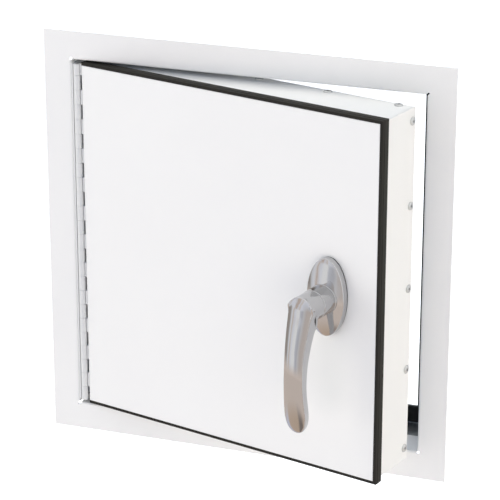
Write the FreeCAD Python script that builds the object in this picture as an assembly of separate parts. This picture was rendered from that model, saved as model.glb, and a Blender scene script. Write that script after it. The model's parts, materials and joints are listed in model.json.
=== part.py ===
import math
import os

import FreeCAD
import Part
from FreeCAD import Vector

# An insulated access door in a flanged wall frame, with a piano hinge at the left and a lever at the right.
# Millimetres. +X is right, +Y goes into the wall and +Z is up.
# The origin is the centre of the opening, on the wall plane that the back of the flange rests on.

# Wall frame
opening_width = 302.6
opening_height = 308.4
flange_border = 24.0
frame_sheet = 1.5
frame_bend = 0.5
throat_depth = 28.5
corner_slit = 0.9
stop_overlap = 10.0
lip_height = 15.0
stop_rivet_inset = 5.0
stop_rivet_pitch = 220.0
mount_hole_diameter = 5.5
mount_hole_inset = 14.0
mount_hole_pitch = 190.0

# Foam seal on the lip
seal_thickness = 3.0
seal_edge = 0.8
seal_chamfer = 0.5
seal_clearance = 0.2

# Door
door_open = 14.5
door_thickness = 54.0
door_sheet = 1.2
door_gap = 3.75
latch_gap = 7.7
pan_bend = 0.8
pan_seam = 0.35
cover_flange = 12.0
cover_fit = 0.1
slab_inset = 9.5
gasket_proud = 2.5
gasket_depth = 9.0
gasket_edge = 0.6
cover_screw_inset = 4.8
side_screw_pitch = 70.0
end_screw_pitch = 65.0
screw_corner = 8.0

# Cover screw
cover_screw_shank = 4.0
cover_screw_length = 8.0
cover_screw_head = 7.0
cover_screw_rise = 1.5
cover_screw_rounding = 0.8
cover_screw_socket = 2.6
socket_floor = 0.5
hole_fit = 0.05

# Hinge
knuckle_radius = 2.85
knuckle_pitch = 12.7
knuckle_gap = 0.2
pin_radius = 1.6
pin_fit = 0.05
hinge_sheet = 1.2
hinge_reach = 5.0
hinge_reveal = 4.65
hinge_foot = 0.25
hinge_overrun = 0.75
hinge_leaf = 19.0
leaf_clearance = 0.3
notch_depth = 1.3
hinge_rivet_inset = 8.0
hinge_rivet_spacing = 4

# Rivet
rivet_radius = 1.6
rivet_head = 3.4
rivet_rise = 1.0
rivet_rounding = 0.8
rivet_tail = 2.5
rivet_tail_rise = 1.2

# Rose and bearings
latch_setback = 43.1
latch_height = 1.2
rose_seal_thickness = 1.2
rose_seal_inset = 0.3
rose_half_width = 17.1
rose_half_height = 32.6
rose_rise = 7.0
rose_band = 5.8
rose_bevel = 0.8
rose_crown = 4.0
rose_crown_steps = 4
rose_wall = 1.5
rose_fit = 0.3
base_thickness = 3.0
collar_radius = 12.0
collar_rise = 18.3
collar_edge = 0.5
bush_radius = 10.5
bush_fit = 0.05
spigot_radius = 9.0
spigot_clearance = 1.0
rose_screw_reach = 21.5
rose_screw_radius = 2.5
rose_screw_head = 4.5
rose_screw_rise = 3.0
post_radius = 4.5
plate_width = 50.0
plate_height = 80.0
plate_thickness = 2.0
plate_fit = 1.0
slab_hole_fit = 0.5
screw_slot = 1.2
slot_floor = 1.7

# Spindle, rear bush and cam
spindle_side = 8.0
spindle_edge = 0.5
spindle_fit = 0.05
spindle_grip = 17.5
lever_gap = 0.2
sleeve_radius = 8.0
sleeve_bore = 6.5
rear_bush_radius = 14.0
rear_bush_flange = 2.5
rear_bush_neck = 9.0
rear_bush_fit = 0.1
cam_clearance = 0.2
cam_thickness = 3.0
cam_hub = 12.0
cam_tip = 7.0
cam_overlap = 11.2
cam_end_fit = 0.1
washer_radius = 8.0
washer_thickness = 1.5
cam_screw_radius = 2.5
cam_screw_head = 4.5
cam_screw_rise = 3.5
cam_screw_length = 16.0
strike_thickness = 1.5
strike_height = 36.0
strike_edge = 1.0
grub_radius = 2.5
grub_length = 6.0
grub_inset = 4.5
grub_socket_depth = 2.0

# Lever: stations of the grip below the spindle, as (height, width, front, back). Front and back are
# distances out from the door's face.
grip_stations = [
    (11.0, 9.0, 43.0, 33.0),
    (8.0, 17.5, 44.2, 31.6),
    (3.0, 22.6, 45.6, 30.6),
    (-6.5, 21.6, 48.4, 31.6),
    (-16.0, 20.6, 50.6, 34.4),
    (-26.0, 19.4, 53.0, 37.6),
    (-37.6, 18.0, 55.2, 40.9),
    (-53.6, 18.1, 55.8, 43.4),
    (-69.6, 18.9, 54.6, 43.5),
    (-83.6, 19.9, 52.4, 41.1),
    (-93.6, 17.6, 50.2, 40.9),
    (-98.8, 10.6, 48.6, 42.0),
    (-100.6, 4.0, 46.8, 43.9),
]
neck_radius = 11.8
neck_reach = 42.2
neck_rounding = 1.2
section_power = 3.0
section_points = 20

# How far a cutting shape runs past what it cuts
overrun = 1.0

# Places worked out from the sizes above
half_width = opening_width / 2
half_height = opening_height / 2
bend_outer = frame_bend + frame_sheet
flange_front = -frame_sheet
door_front = flange_front
door_back = door_front + door_thickness
door_top = half_height - door_gap
door_height = 2 * door_top
axis_x = -half_width + hinge_reach
axis_y = door_front
door_left = axis_x + hinge_reveal
door_right = half_width - latch_gap
door_width = door_right - door_left
door_middle = (door_left + door_right) / 2
lip_front = door_back + seal_clearance + seal_thickness
lip_back = lip_front + frame_sheet
stop_start = throat_depth - stop_overlap
latch_x = door_right - latch_setback
cam_front = lip_back + strike_thickness + cam_clearance
hinge_bottom = -door_top + hinge_foot
hinge_top = door_top + hinge_overrun
cover_inner = door_back - door_sheet
screw_y = door_back - cover_screw_inset
collar_front = door_front - rose_rise - collar_rise
rose_back = door_front - rose_seal_thickness
spindle_outer = collar_front - spindle_grip
plate_start = axis_y + knuckle_radius + leaf_clearance + notch_depth
leaf_end = axis_y + hinge_leaf
rivet_y = leaf_end - hinge_rivet_inset
stop_rivet_y = throat_depth - stop_rivet_inset
grub_y = collar_front - grub_inset
spindle_end = cam_front + cam_thickness - cam_end_fit
spindle_corner = math.hypot(spindle_side / 2, spindle_side / 2 - spindle_edge)


def box(x, y, z):
    """A box from its three ranges."""
    size = [high - low for low, high in (x, y, z)]
    return Part.makeBox(*size, Vector(x[0], y[0], z[0]))


def rod(radius, start, end):
    """A round bar from one point to another."""
    way = end - start
    return Part.makeCylinder(radius, way.Length, start, way)


def across(radius, x, z, y):
    """A round bar through the door, along Y."""
    return rod(radius, Vector(x, y[0], z), Vector(x, y[1], z))


def join(shapes):
    """One solid from several that touch or overlap."""
    return shapes[0].multiFuse(shapes[1:]).removeSplitter() if len(shapes) > 1 else shapes[0]


def hexagon(across_corners, centre, normal):
    """A six-sided face for a key socket."""
    side = Vector(0, 1, 0)
    up = normal.cross(side)
    corners = [centre + side * (across_corners / 2 * math.cos(math.radians(60 * corner)))
               + up * (across_corners / 2 * math.sin(math.radians(60 * corner))) for corner in range(7)]
    return Part.Face(Part.makePolygon(corners))


def centred_places(span, pitch):
    """Places at one pitch, set out both ways from the middle of a span."""
    count = int(span / 2 / pitch)
    return [place * pitch for place in range(-count, count + 1)]


def paired_places(span, pitch):
    """Places at one pitch, set out from half a pitch each side of the middle."""
    count = int((span / 2 + pitch / 2) / pitch)
    return [side * (place + 0.5) * pitch for side in (-1, 1) for place in range(count)]


def to_side(shape, turn):
    """Turns a shape made for the sill to another side of the frame."""
    shape.rotate(Vector(0, 0, 0), Vector(0, 1, 0), turn)
    return shape


# Each side of the frame, a quarter turn on from the last: its turn, its distance from the centre and half
# its length
sides = {}
for quarters, side_name in enumerate(["sill", "hinge_jamb", "head", "latch_jamb"]):
    upright = quarters % 2 == 1
    distance_and_half_length = (half_width, half_height) if upright else (half_height, half_width)
    sides[side_name] = (90 * quarters, *distance_and_half_length)


def section_face(edges):
    return Part.Face(Part.Wire(edges))


def arc(centre, radius, first, last):
    """An arc in the YZ plane, its angles measured from +Y towards +Z."""
    def place(angle):
        turn = math.radians(angle)
        return centre + Vector(0, radius * math.cos(turn), radius * math.sin(turn))

    return Part.Arc(place(first), place((first + last) / 2), place(last)).toShape()


def line(first, last):
    return Part.makeLine(first, last)


def throat_profile(distance):
    """Section of a folded return: straight wall and bend, outwards from the opening."""
    def at(outward, y):
        return Vector(0, y, -distance - outward)

    bend_y = flange_front + bend_outer
    centre = at(bend_outer, bend_y)
    return section_face([
        arc(centre, bend_outer, 180, 90),
        line(at(0, bend_y), at(0, throat_depth)),
        line(at(0, throat_depth), at(frame_sheet, throat_depth)),
        line(at(frame_sheet, throat_depth), at(frame_sheet, bend_y)),
        arc(centre, frame_bend, 90, 180),
        line(at(bend_outer, 0), at(bend_outer, flange_front)),
    ])


def stop_profile(distance):
    """Section of a stop angle: a leg outside the throat and a lip that turns inwards."""
    def at(outward, y):
        return Vector(0, y, -distance - outward)

    inner, outer = frame_sheet, 2 * frame_sheet
    bend_y = lip_front - frame_bend
    centre = at(inner - frame_bend, bend_y)
    return section_face([
        line(at(inner, stop_start), at(inner, bend_y)),
        arc(centre, frame_bend, -90, 0),
        line(at(inner - frame_bend, lip_front), at(-lip_height, lip_front)),
        line(at(-lip_height, lip_front), at(-lip_height, lip_back)),
        line(at(-lip_height, lip_back), at(inner - frame_bend, lip_back)),
        arc(centre, bend_outer, 0, -90),
        line(at(outer, bend_y), at(outer, stop_start)),
        line(at(outer, stop_start), at(inner, stop_start)),
    ])


def run_along(profile, half_length):
    """The section as a straight length, centred on X = 0."""
    profile.translate(Vector(-half_length, 0, 0))
    return profile.extrude(Vector(2 * half_length, 0, 0))


def mitre_wedge(distance, half_length):
    """The room of one side of the frame, between 45 degree planes through the opening's corners."""
    inward, outward = lip_height + frame_sheet, 4 * frame_sheet
    corners = [
        Vector(-half_length + inward, 0, -distance + inward),
        Vector(half_length - inward, 0, -distance + inward),
        Vector(half_length + outward, 0, -distance - outward),
        Vector(-half_length - outward, 0, -distance - outward),
    ]
    face = Part.Face(Part.makePolygon(corners + corners[:1]))
    return face.extrude(Vector(0, lip_back + frame_sheet, 0))


def stop_rivet_places(half_length):
    return paired_places(2 * half_length, stop_rivet_pitch)


def flange_frame():
    hole = bend_outer
    plate = box(
        (-half_width - flange_border, half_width + flange_border),
        (flange_front, 0),
        (-half_height - flange_border, half_height + flange_border),
    ).cut(box(
        (-half_width - hole, half_width + hole),
        (flange_front, 0),
        (-half_height - hole, half_height + hole),
    ))
    shape = [plate]
    cutters = []
    for turn, distance, half_length in sides.values():
        shape.append(to_side(run_along(throat_profile(distance), half_length - corner_slit), turn))
        for place in stop_rivet_places(half_length):
            start = Vector(place, stop_rivet_y, -distance + overrun)
            end = Vector(place, stop_rivet_y, -distance - frame_sheet - overrun)
            cutters.append(to_side(rod(rivet_radius + hole_fit, start, end), turn))
    for z in hinge_rivet_places():
        start = Vector(-half_width + overrun, rivet_y, z)
        end = Vector(-half_width - frame_sheet - overrun, rivet_y, z)
        cutters.append(rod(rivet_radius + hole_fit, start, end))
    return join(shape).cut(Part.makeCompound(cutters))


def stop_member(side):
    turn, distance, half_length = sides[side]
    bar = run_along(stop_profile(distance), half_length + 3 * frame_sheet)
    bar = bar.common(mitre_wedge(distance, half_length))
    holes = [(place, stop_rivet_y, rivet_radius + hole_fit) for place in stop_rivet_places(half_length)]
    if side.endswith("jamb"):
        mount_y = lip_front - mount_hole_inset
        holes += [(place * mount_hole_pitch / 2, mount_y, mount_hole_diameter / 2) for place in (-1, 1)]
    cutters = [rod(radius, Vector(place, y, -distance), Vector(place, y, -distance - 3 * frame_sheet))
               for place, y, radius in holes]
    return to_side(bar.cut(Part.makeCompound(cutters)), turn)


def domed_head(radius, rise, rounding, point, outward):
    """A round head on a surface, its outer rim rounded."""
    head = Part.makeCylinder(radius, rise, point, outward)
    rim = [edge for edge in head.Edges
           if edge.isClosed() and (edge.CenterOfMass - point).dot(outward) > rise / 2]
    return head.makeFillet(rounding, rim)


def rivet(point, outward, grip):
    """A rivet with a domed head at its point and a plain tail past the sheets it grips."""
    inward = outward * -1
    shank = Part.makeCylinder(rivet_radius, grip + rivet_tail_rise / 2, point, inward)
    tail = Part.makeCylinder(rivet_tail, rivet_tail_rise, point + inward * grip, inward)
    return join([domed_head(rivet_head, rivet_rise, rivet_rounding, point, outward), shank, tail])


def stop_rivets():
    made = []
    for turn, distance, half_length in sides.values():
        for place in stop_rivet_places(half_length):
            point = Vector(place, stop_rivet_y, -distance)
            made.append(to_side(rivet(point, Vector(0, 0, 1), 2 * frame_sheet), turn))
    return made


def stop_seal():
    outer_x, outer_z = half_width - seal_edge, half_height - seal_edge
    inner_x, inner_z = half_width - lip_height, half_height - lip_height
    front = lip_front - seal_thickness
    seal = box((-outer_x, outer_x), (front, lip_front), (-outer_z, outer_z)).cut(
        box((-inner_x, inner_x), (front, lip_front), (-inner_z, inner_z)))
    edges = [edge for edge in seal.Edges if abs(edge.CenterOfMass.y - front) < 0.001]
    return seal.makeChamfer(seal_chamfer, edges)


def strike_plate():
    return box(
        (half_width - lip_height + strike_edge, half_width),
        (lip_back, lip_back + strike_thickness),
        (latch_height - strike_height / 2, latch_height + strike_height / 2),
    )


def knuckle_spans():
    """Bottom and top of each knuckle. The first belongs to the frame's leaf, the next to the door's."""
    spans = []
    low = hinge_bottom
    while low < hinge_top - knuckle_pitch / 4:
        spans.append((low, min(low + knuckle_pitch, hinge_top)))
        low += knuckle_pitch
    return spans


def hinge_rivet_places():
    return paired_places(hinge_top - hinge_bottom - 2 * knuckle_pitch, hinge_rivet_spacing * knuckle_pitch)


def hinge_rod(radius, low, high):
    return rod(radius, Vector(axis_x, axis_y, low), Vector(axis_x, axis_y, high))


def hinge_leaf_shape(owner, plate_x, strip_x, plate_front):
    """A hinge leaf: knuckles on the axis, strips behind them, and a plate that comes forward to the front
    plane at its own knuckles and to plate_front elsewhere."""
    strip_y = (axis_y + knuckle_radius - hinge_sheet, axis_y + knuckle_radius)
    pieces = [box(plate_x, (plate_front, leaf_end), (hinge_bottom, hinge_top))]
    for number, (low, high) in enumerate(knuckle_spans()):
        low, high = low + knuckle_gap / 2, high - knuckle_gap / 2
        if number % 2 == owner:
            pieces.append(hinge_rod(knuckle_radius, low, high))
            pieces.append(box(strip_x, strip_y, (low, high)))
            pieces.append(box(plate_x, (axis_y, plate_start), (low, high)))
    cutters = [hinge_rod(pin_radius + pin_fit, hinge_bottom - overrun, hinge_top + overrun)]
    for z in hinge_rivet_places():
        start = Vector(plate_x[0] - overrun, rivet_y, z)
        end = Vector(plate_x[1] + overrun, rivet_y, z)
        cutters.append(rod(rivet_radius + hole_fit, start, end))
    return join(pieces).cut(Part.makeCompound(cutters))


def hinge_frame_leaf():
    plate_x = (-half_width, -half_width + hinge_sheet)
    return hinge_leaf_shape(0, plate_x, (plate_x[0], axis_x), axis_y)


def hinge_door_leaf():
    plate_x = (door_left - hinge_sheet, door_left)
    return hinge_leaf_shape(1, plate_x, (axis_x, plate_x[1]), plate_start)


def hinge_pin():
    return hinge_rod(pin_radius, hinge_bottom, hinge_top)


def hinge_frame_rivets():
    x = -half_width + hinge_sheet
    return [rivet(Vector(x, rivet_y, z), Vector(1, 0, 0), hinge_sheet + frame_sheet)
            for z in hinge_rivet_places()]


def hinge_door_rivets():
    x = door_left - hinge_sheet
    return [rivet(Vector(x, rivet_y, z), Vector(-1, 0, 0), hinge_sheet + door_sheet)
            for z in hinge_rivet_places()]


def cover_screw_places():
    """Point under each head and the way the head faces, all round the door."""
    places = []
    for z in centred_places(door_height - 2 * screw_corner, side_screw_pitch):
        places.append((Vector(door_right, screw_y, z), Vector(1, 0, 0)))
        places.append((Vector(door_left, screw_y, z), Vector(-1, 0, 0)))
    for x in centred_places(door_width - 2 * screw_corner, end_screw_pitch):
        places.append((Vector(door_middle + x, screw_y, door_top), Vector(0, 0, 1)))
        places.append((Vector(door_middle + x, screw_y, -door_top), Vector(0, 0, -1)))
    return places


def cover_screw_holes():
    radius = cover_screw_shank / 2 + hole_fit
    return [rod(radius, point + way, point - way * (2 * door_sheet + cover_fit + overrun))
            for point, way in cover_screw_places()]


def cover_screw(point, way):
    """A pan head screw: domed head with a six-sided socket, and a plain shank."""
    head = domed_head(cover_screw_head / 2, cover_screw_rise, cover_screw_rounding, point, way)
    socket = hexagon(cover_screw_socket, point + way * socket_floor, way).extrude(way * cover_screw_rise)
    shank = Part.makeCylinder(cover_screw_shank / 2, cover_screw_length, point, way * -1)
    return join([head.cut(socket), shank])


def cover_screws():
    return [cover_screw(point, way) for point, way in cover_screw_places()]


def latch_bore(radius, y):
    return across(radius, latch_x, latch_height, y)


def ring(outer, inner, y):
    """A round sleeve or washer on the spindle's axis."""
    return latch_bore(outer, y).cut(latch_bore(inner, (y[0] - overrun, y[1] + overrun)))


def rose_screw_bores(radius, y):
    return [across(radius, latch_x, latch_height + side * rose_screw_reach, y) for side in (-1, 1)]


def pan_seams():
    """The open seam at each corner, where a folded end meets the back of the folded side."""
    seam_y = (door_front + door_sheet + pan_bend, door_back + overrun)
    side = sorted((door_right - door_sheet, door_right - door_sheet - pan_seam))
    hinge_side = sorted((door_left + door_sheet, door_left + door_sheet + pan_seam))
    end = (door_top - 2 * door_sheet, door_top + overrun)
    other_end = (-door_top - overrun, -door_top + 2 * door_sheet)
    return [box(x, seam_y, z) for x in (side, hinge_side) for z in (end, other_end)]


def door_pan():
    outer = box((door_left, door_right), (door_front, door_back), (-door_top, door_top))
    edges = [edge for edge in outer.Edges if abs(edge.CenterOfMass.y - door_front) < 0.001]
    outer = outer.makeFillet(pan_bend, edges)
    inner = box(
        (door_left + door_sheet, door_right - door_sheet),
        (door_front + door_sheet, door_back + overrun),
        (-door_top + door_sheet, door_top - door_sheet),
    )
    face = (door_front - overrun, door_front + door_sheet + overrun)
    cutters = [latch_bore(sleeve_bore, face)] + cover_screw_holes() + pan_seams()
    cutters += rose_screw_bores(rose_screw_radius + hole_fit, face)
    for z in hinge_rivet_places():
        start = Vector(door_left - overrun, rivet_y, z)
        end = Vector(door_left + door_sheet + overrun, rivet_y, z)
        cutters.append(rod(rivet_radius + hole_fit, start, end))
    return outer.cut(inner).cut(Part.makeCompound(cutters))


def edge_gasket():
    outer = box((door_left, door_right + gasket_proud), (door_front, door_front + gasket_depth),
                (-door_top - gasket_proud, door_top + gasket_proud))
    right = door_right + gasket_proud
    rim = [edge for edge in outer.Edges if edge.CenterOfMass.x > door_left + 0.001
           and not (abs(edge.CenterOfMass.y - door_front - gasket_depth / 2) < 0.001
                    and edge.CenterOfMass.x < right - 0.001)]
    rounded = outer.makeFillet(gasket_edge, rim)
    depth = (door_front - overrun, door_front + gasket_depth + overrun)
    hole = box((door_left - overrun, door_right), depth, (-door_top, door_top))
    return rounded.cut(hole)


def back_cover():
    inset = door_sheet + cover_fit
    x = (door_left + inset, door_right - inset)
    z = (-door_top + inset, door_top - inset)
    tray = box(x, (door_back - cover_flange, door_back), z)
    hollow = box((x[0] + door_sheet, x[1] - door_sheet), (door_back - cover_flange - overrun, cover_inner),
                 (z[0] + door_sheet, z[1] - door_sheet))
    face = (cover_inner - overrun, door_back + overrun)
    cutters = [latch_bore(sleeve_bore + hole_fit, face)] + cover_screw_holes()
    cutters += rose_screw_bores(rose_screw_radius + hole_fit, face)
    return tray.cut(hollow).cut(Part.makeCompound(cutters))


def insulation_slab():
    slab = box((door_left + slab_inset, door_right - slab_inset), (door_front + door_sheet, cover_inner),
               (-door_top + slab_inset, door_top - slab_inset))
    pocket_y = (door_front, door_front + door_sheet + plate_thickness)
    pocket = around_latch(plate_width / 2 + plate_fit, plate_height / 2 + plate_fit, pocket_y)
    through = (door_front, door_back)
    bores = [latch_bore(sleeve_radius + hole_fit, through)]
    bores += rose_screw_bores(rose_screw_radius + slab_hole_fit, through)
    return slab.cut(Part.makeCompound([pocket] + bores))


def latch_plate():
    y = (door_front + door_sheet, door_front + door_sheet + plate_thickness)
    plate = around_latch(plate_width / 2, plate_height / 2, y)
    bores = [latch_bore(sleeve_bore, (y[0] - overrun, y[1] + overrun))]
    bores += rose_screw_bores(rose_screw_radius + hole_fit, (y[0] - overrun, y[1] + overrun))
    return plate.cut(Part.makeCompound(bores))


def oval_wire(half_w, half_h, y):
    """An upright ellipse round the spindle, in a plane across it."""
    centre = Vector(latch_x, y, latch_height)
    curve = Part.Ellipse(centre + Vector(0, 0, half_h), centre + Vector(half_w, 0, 0), centre)
    return Part.Wire([curve.toShape()])


def oval(half_w, half_h, y):
    return Part.Face(oval_wire(half_w, half_h, y[0])).extrude(Vector(0, y[1] - y[0], 0))


def rose_outline(share, y):
    """The front edge of the rose, drawn in to a share of its size."""
    return oval_wire(share * (rose_half_width - rose_bevel), share * (rose_half_height - rose_bevel), y)


def rose_cover():
    band_front = door_front - rose_band
    front = door_front - rose_rise
    band = oval(rose_half_width, rose_half_height, (rose_back, band_front))
    edge = Part.makeLoft([oval_wire(rose_half_width, rose_half_height, band_front), rose_outline(1, front)],
                         True, True)
    shares = [1 - step / (rose_crown_steps + 1) for step in range(rose_crown_steps + 1)]
    crown = Part.makeLoft([rose_outline(share, front - rose_crown * (1 - share ** 2)) for share in shares],
                          True, False)
    wall = rose_wall + rose_bevel
    hollow = oval(rose_half_width - wall, rose_half_height - wall, (rose_back + overrun, front + rose_wall))
    seat = (rose_back + overrun, rose_back - base_thickness)
    floor = oval(rose_half_width - rose_wall, rose_half_height - rose_wall, seat)
    hole = latch_bore(bush_radius + hole_fit, (rose_back + overrun, front - overrun))
    collar_seat = latch_bore(collar_radius + hole_fit, (front, front - rose_crown - overrun))
    return join([band, edge, crown]).cut(Part.makeCompound([join([hollow, floor]), join([hole, collar_seat])]))


def rose_base():
    inset = rose_wall + rose_fit
    plate = oval(rose_half_width - inset, rose_half_height - inset, (rose_back, rose_back - base_thickness))
    top = door_front - rose_rise + rose_wall
    boss = latch_bore(collar_radius, (top, rose_back))
    posts = rose_screw_bores(post_radius, (top, rose_back))
    bores = rose_screw_bores(rose_screw_radius + hole_fit, (top + rose_wall, rose_back + overrun))
    hole = latch_bore(bush_radius + hole_fit, (top - overrun, rose_back + overrun))
    return join([plate, boss] + posts).cut(Part.makeCompound(bores + [hole]))


def rose_seal():
    size = (rose_half_width - rose_seal_inset, rose_half_height - rose_seal_inset)
    depth = (rose_back - overrun, door_front + overrun)
    bores = rose_screw_bores(rose_screw_radius + hole_fit, depth)
    bores.append(latch_bore(bush_radius + hole_fit, depth))
    return oval(*size, (door_front, rose_back)).cut(Part.makeCompound(bores))


def rose_collar():
    face = door_front - rose_rise
    collar = latch_bore(collar_radius, (collar_front, face))
    edges = [edge for edge in collar.Edges
             if edge.isClosed() and abs(edge.CenterOfMass.y - collar_front) < 0.001]
    collar = collar.makeFillet(collar_edge, edges)
    return collar.cut(latch_bore(bush_radius + hole_fit, (collar_front - overrun, face + overrun)))


def rose_screws():
    made = []
    tip = door_front - rose_rise + 2 * rose_wall + spigot_clearance / 2
    for side in (-1, 1):
        z = latch_height + side * rose_screw_reach
        shank = across(rose_screw_radius, latch_x, z, (tip, door_back))
        head = across(rose_screw_head, latch_x, z, (door_back, door_back + rose_screw_rise))
        slot_y = (door_back + slot_floor, door_back + rose_screw_rise + overrun)
        slot = around_latch(rose_screw_head, screw_slot / 2, slot_y)
        slot.translate(Vector(0, 0, z - latch_height))
        made.append(join([shank, head]).cut(slot))
    return made


def lever_bush():
    return ring(bush_radius, spigot_radius + bush_fit, (collar_front + collar_edge, door_front))


def spindle_sleeve():
    return ring(sleeve_radius, sleeve_bore, (door_front + door_sheet + plate_thickness, cover_inner))


def rear_bush():
    tail = door_back - door_sheet - rear_bush_flange
    end = cam_front - cam_end_fit
    shape = join([
        latch_bore(sleeve_bore, (tail, door_back)),
        latch_bore(rear_bush_radius, (door_back, door_back + rear_bush_flange)),
        latch_bore(rear_bush_neck, (door_back, end)),
    ])
    return shape.cut(latch_bore(spindle_corner + rear_bush_fit, (tail - overrun, end + overrun)))


def around_latch(half_x, half_z, y):
    return box((latch_x - half_x, latch_x + half_x), y, (latch_height - half_z, latch_height + half_z))


def spindle_box(side, y):
    return around_latch(side / 2, side / 2, y)


def spindle():
    bar = spindle_box(spindle_side, (spindle_outer, spindle_end))
    edges = [edge for edge in bar.Edges if abs(edge.tangentAt(edge.FirstParameter).y) > 0.9]
    bar = bar.makeChamfer(spindle_edge, edges)
    depth = cam_screw_length - washer_thickness
    return bar.cut(latch_bore(cam_screw_radius + hole_fit, (spindle_end - depth, spindle_end + overrun)))


def superellipse(width, depth, centre, across_way, depth_way):
    """A closed section curve between an ellipse and a rectangle."""
    points = []
    for step in range(section_points):
        angle = 2 * math.pi * (step + 0.5) / section_points
        cosine, sine = math.cos(angle), math.sin(angle)
        u = math.copysign(abs(cosine) ** (2 / section_power), cosine) * width / 2
        v = math.copysign(abs(sine) ** (2 / section_power), sine) * depth / 2
        points.append(centre + across_way * u + depth_way * v)
    curve = Part.BSplineCurve()
    curve.interpolate(points, PeriodicFlag=True)
    return Part.Wire([curve.toShape()])


def grip():
    wires = []
    for height, width, front, back in grip_stations:
        centre = Vector(latch_x, door_front - (front + back) / 2, latch_height + height)
        wires.append(superellipse(width, front - back, centre, Vector(1, 0, 0), Vector(0, 1, 0)))
    return Part.makeLoft(wires, True, False)


def neck():
    """A round bar from the collar to the grip, its front rim rounded."""
    front = door_front - neck_reach
    bar = latch_bore(neck_radius, (front, collar_front - lever_gap))
    rim = [edge for edge in bar.Edges if edge.isClosed() and abs(edge.CenterOfMass.y - front) < 0.001]
    return bar.makeFillet(neck_rounding, rim)


def lever():
    spigot = latch_bore(spigot_radius, (spindle_outer, door_front - spigot_clearance))
    body = grip().fuse(neck()).fuse(spigot)
    socket = spindle_box(spindle_side + 2 * spindle_fit, (spindle_outer, door_front))
    below = Vector(latch_x, grub_y, latch_height - 2 * neck_radius)
    grub_bore = rod(grub_radius + hole_fit, Vector(latch_x, grub_y, latch_height), below)
    return body.cut(Part.makeCompound([socket, grub_bore]))


def grub_screw():
    top = Vector(latch_x, grub_y, latch_height - spindle_side / 2)
    foot = top - Vector(0, 0, grub_length)
    up = Vector(0, 0, 1)
    socket = hexagon(cover_screw_socket, foot, up).extrude(up * grub_socket_depth)
    return rod(grub_radius, foot, top).cut(socket)


def cam():
    reach = half_width - lip_height + cam_overlap - latch_x
    y = (cam_front, cam_front + cam_thickness)
    hub = latch_bore(cam_hub, y)
    tip_z = latch_height + reach - cam_tip
    tip = across(cam_tip, latch_x, tip_z, y)
    slope = math.asin((cam_hub - cam_tip) / (tip_z - latch_height))
    side_x, side_z = math.cos(slope), math.sin(slope)
    corners = [
        Vector(latch_x - cam_hub * side_x, y[0], latch_height + cam_hub * side_z),
        Vector(latch_x + cam_hub * side_x, y[0], latch_height + cam_hub * side_z),
        Vector(latch_x + cam_tip * side_x, y[0], tip_z + cam_tip * side_z),
        Vector(latch_x - cam_tip * side_x, y[0], tip_z + cam_tip * side_z),
    ]
    web = Part.Face(Part.makePolygon(corners + corners[:1])).extrude(Vector(0, cam_thickness, 0))
    hole = spindle_box(spindle_side + 2 * spindle_fit, (y[0] - overrun, y[1] + overrun))
    return join([hub, web, tip]).cut(hole)


def cam_washer():
    back = cam_front + cam_thickness
    return ring(washer_radius, cam_screw_radius + hole_fit, (back, back + washer_thickness))


def cam_screw():
    seat = cam_front + cam_thickness + washer_thickness
    shank = latch_bore(cam_screw_radius, (seat - cam_screw_length, seat))
    head = latch_bore(cam_screw_head, (seat, seat + cam_screw_rise))
    slot = around_latch(cam_screw_head, screw_slot / 2, (seat + slot_floor, seat + cam_screw_rise + overrun))
    return join([shank, head]).cut(slot)


def opened(shape):
    """Turns a piece of the door from closed to the opening at which the door stands."""
    shape.rotate(Vector(axis_x, axis_y, 0), Vector(0, 0, -1), door_open)
    return shape


def save(name, shape, on_door=False):
    solids = shape if isinstance(shape, list) else [shape]
    if on_door:
        solids = [opened(solid) for solid in solids]
    whole = Part.makeCompound([solid for piece in solids for solid in piece.Solids])
    if len(whole.Solids) == 1:
        whole = whole.Solids[0]
    whole.exportStep("parts/" + name + ".step")
    state = "valid" if whole.isValid() else "NOT VALID"
    print(name, len(whole.Solids), "solids", round(whole.Volume), "mm3", state)


os.makedirs("parts", exist_ok=True)

save("flange_frame", flange_frame())
for side_name in sides:
    save("stop_" + side_name, stop_member(side_name))
save("stop_rivets", stop_rivets())
save("stop_seal", stop_seal())
save("strike_plate", strike_plate())
save("hinge_frame_leaf", hinge_frame_leaf())
save("hinge_frame_rivets", hinge_frame_rivets())
save("hinge_pin", hinge_pin())

door_pieces = {
    "hinge_door_leaf": hinge_door_leaf,
    "hinge_door_rivets": hinge_door_rivets,
    "door_pan": door_pan,
    "edge_gasket": edge_gasket,
    "insulation_slab": insulation_slab,
    "back_cover": back_cover,
    "cover_screws": cover_screws,
    "latch_plate": latch_plate,
    "rose_seal": rose_seal,
    "rose_base": rose_base,
    "rose_cover": rose_cover,
    "rose_collar": rose_collar,
    "rose_screws": rose_screws,
    "lever_bush": lever_bush,
    "spindle_sleeve": spindle_sleeve,
    "rear_bush": rear_bush,
    "lever": lever,
    "grub_screw": grub_screw,
    "spindle": spindle,
    "cam": cam,
    "cam_washer": cam_washer,
    "cam_screw": cam_screw,
}
for piece_name, make in door_pieces.items():
    save(piece_name, make(), on_door=True)
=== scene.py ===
import json
import math

import bpy
import bmesh
from mathutils import Matrix, Vector


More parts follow.
